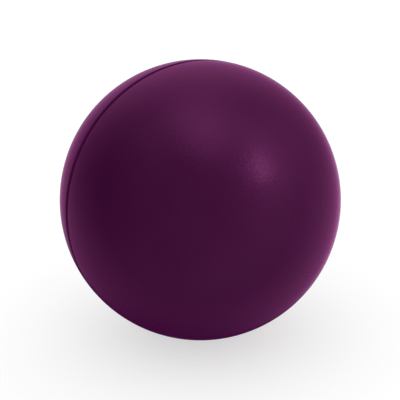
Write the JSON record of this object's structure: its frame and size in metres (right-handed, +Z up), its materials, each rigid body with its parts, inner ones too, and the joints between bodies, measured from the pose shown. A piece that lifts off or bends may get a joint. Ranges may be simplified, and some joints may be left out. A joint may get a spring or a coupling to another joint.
{
  "type": "bowling ball",
  "caption": "Tenpin bowling ball with a two-half cover, shaped weight block, finger inserts and a twist-lock thumb sleeve.",
  "frame": {"origin": "the ball's centre", "axes": "+Z up; +Y from the centre to the grip centre, midway between the thumb hole and the finger holes; the parting line lies in the XZ plane, with the plain front half at -Y"},
  "size_m": [0.2172, 0.2172, 0.2172],
  "materials": {
    "cover": "satin",
    "filler": "matte",
    "weight_block": "matte",
    "flip_block": "matte",
    "pin": "satin",
    "insert": "matte",
    "outer_sleeve": "satin",
    "inner_sleeve": "satin",
    "tension_ring": "matte"
  },
  "bodies": {
    "ball": {"front_cover": "cover", "back_cover": "cover", "filler_core": "filler", "weight_block": "weight_block", "flip_block": "flip_block", "locator_pin": "pin", "middle_finger_insert": "insert", "ring_finger_insert": "insert", "thumb_outer_sleeve": "outer_sleeve", "thumb_tension_ring": "tension_ring"},
    "thumb_sleeve": {"thumb_inner_sleeve": "inner_sleeve"}
  },
  "joints": [
    {"name": "thumb_sleeve_twist", "type": "hinge", "parent": "ball", "child": "thumb_sleeve", "pos_m": [0, 0.08751, -0.06087], "axis": [0, 0.8209, -0.571], "range_deg": [0, 60]}
  ]
}
